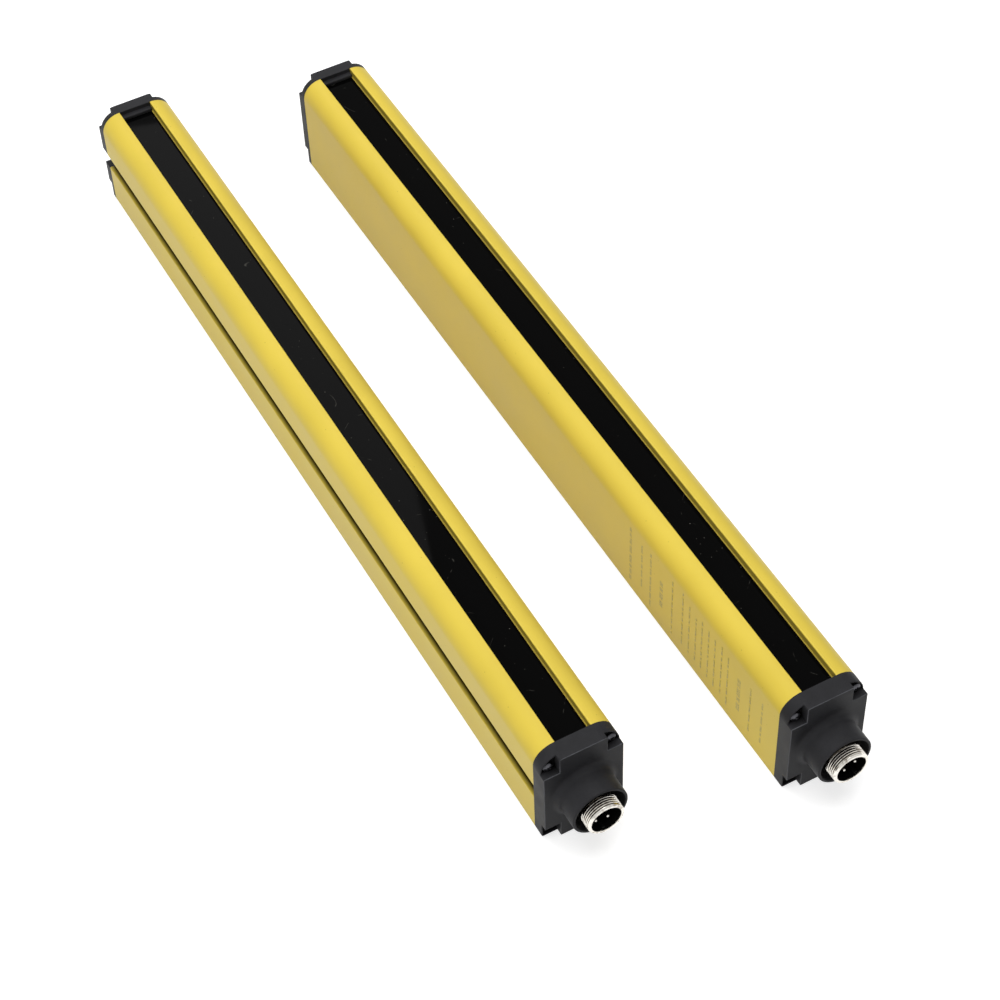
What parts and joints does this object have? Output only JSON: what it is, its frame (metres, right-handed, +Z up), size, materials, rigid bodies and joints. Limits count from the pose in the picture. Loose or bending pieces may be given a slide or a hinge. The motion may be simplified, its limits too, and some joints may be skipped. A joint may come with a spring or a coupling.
{
  "type": "safety light curtain",
  "caption": "Safety light curtain: an emitter bar and a receiver bar in extruded profiles, each with a long dark window, a side groove and a round threaded connector on one end cap.",
  "frame": {"origin": "middle of the rectangle that the two bars fill on the table, on the table", "axes": "+Y along the bars, from the connector ends to the far ends; +Z up, the way the windows face; +X from the emitter to the receiver"},
  "size_m": [0.1284, 0.4786, 0.051],
  "materials": {
    "profile_yellow": "satin",
    "window_black": "gloss",
    "cap_black": "matte",
    "seal_rubber": "matte",
    "screw_black": "satin",
    "nickel": "polished",
    "insert_black": "matte",
    "pin_silver": "polished",
    "wire_grey": "matte",
    "header_white": "matte",
    "board_green": "satin",
    "chip_black": "matte",
    "capacitor_can": "satin",
    "diode_clear": "gloss",
    "carrier_black": "matte",
    "lens_red": "gloss",
    "guide_clear": "gloss",
    "pad_grey": "matte"
  },
  "bodies": {
    "root": {"emitter_housing": "profile_yellow", "emitter_front_window": "window_black", "emitter_window_seals": "seal_rubber", "emitter_connector_cap": "cap_black", "emitter_far_cap": "cap_black", "emitter_connector_cap_gasket": "seal_rubber", "emitter_far_cap_gasket": "seal_rubber", "emitter_connector_cap_screws": "screw_black", "emitter_far_cap_screws": "screw_black", "emitter_connector_shell": "nickel", "emitter_connector_insert": "insert_black", "emitter_connector_pins": "pin_silver", "emitter_connector_seal": "seal_rubber", "emitter_connector_nut": "nickel", "emitter_lead_wires": "wire_grey", "emitter_wire_header": "header_white", "emitter_circuit_board": "board_green", "emitter_processor": "chip_black", "emitter_driver_chips": "chip_black", "emitter_capacitors": "capacitor_can", "emitter_optics_carrier": "carrier_black", "emitter_lens_strip": "lens_red", "emitter_optics_pad": "pad_grey", "emitter_status_lamps": "diode_clear", "emitter_light_guide": "guide_clear", "receiver_housing": "profile_yellow", "receiver_front_window": "window_black", "receiver_window_seals": "seal_rubber", "receiver_connector_cap": "cap_black", "receiver_far_cap": "cap_black", "receiver_connector_cap_gasket": "seal_rubber", "receiver_far_cap_gasket": "seal_rubber", "receiver_connector_cap_screws": "screw_black", "receiver_far_cap_screws": "screw_black", "receiver_connector_shell": "nickel", "receiver_connector_insert": "insert_black", "receiver_connector_pins": "pin_silver", "receiver_connector_seal": "seal_rubber", "receiver_connector_nut": "nickel", "receiver_lead_wires": "wire_grey", "receiver_wire_header": "header_white", "receiver_circuit_board": "board_green", "receiver_processor": "chip_black", "receiver_driver_chips": "chip_black", "receiver_capacitors": "capacitor_can", "receiver_optics_carrier": "carrier_black", "receiver_lens_strip": "lens_red", "receiver_optics_pad": "pad_grey", "receiver_status_lamps": "diode_clear", "receiver_light_guide": "guide_clear", "emitter_beam_leds": "diode_clear", "receiver_photodiodes": "chip_black"}
  },
  "joints": []
}
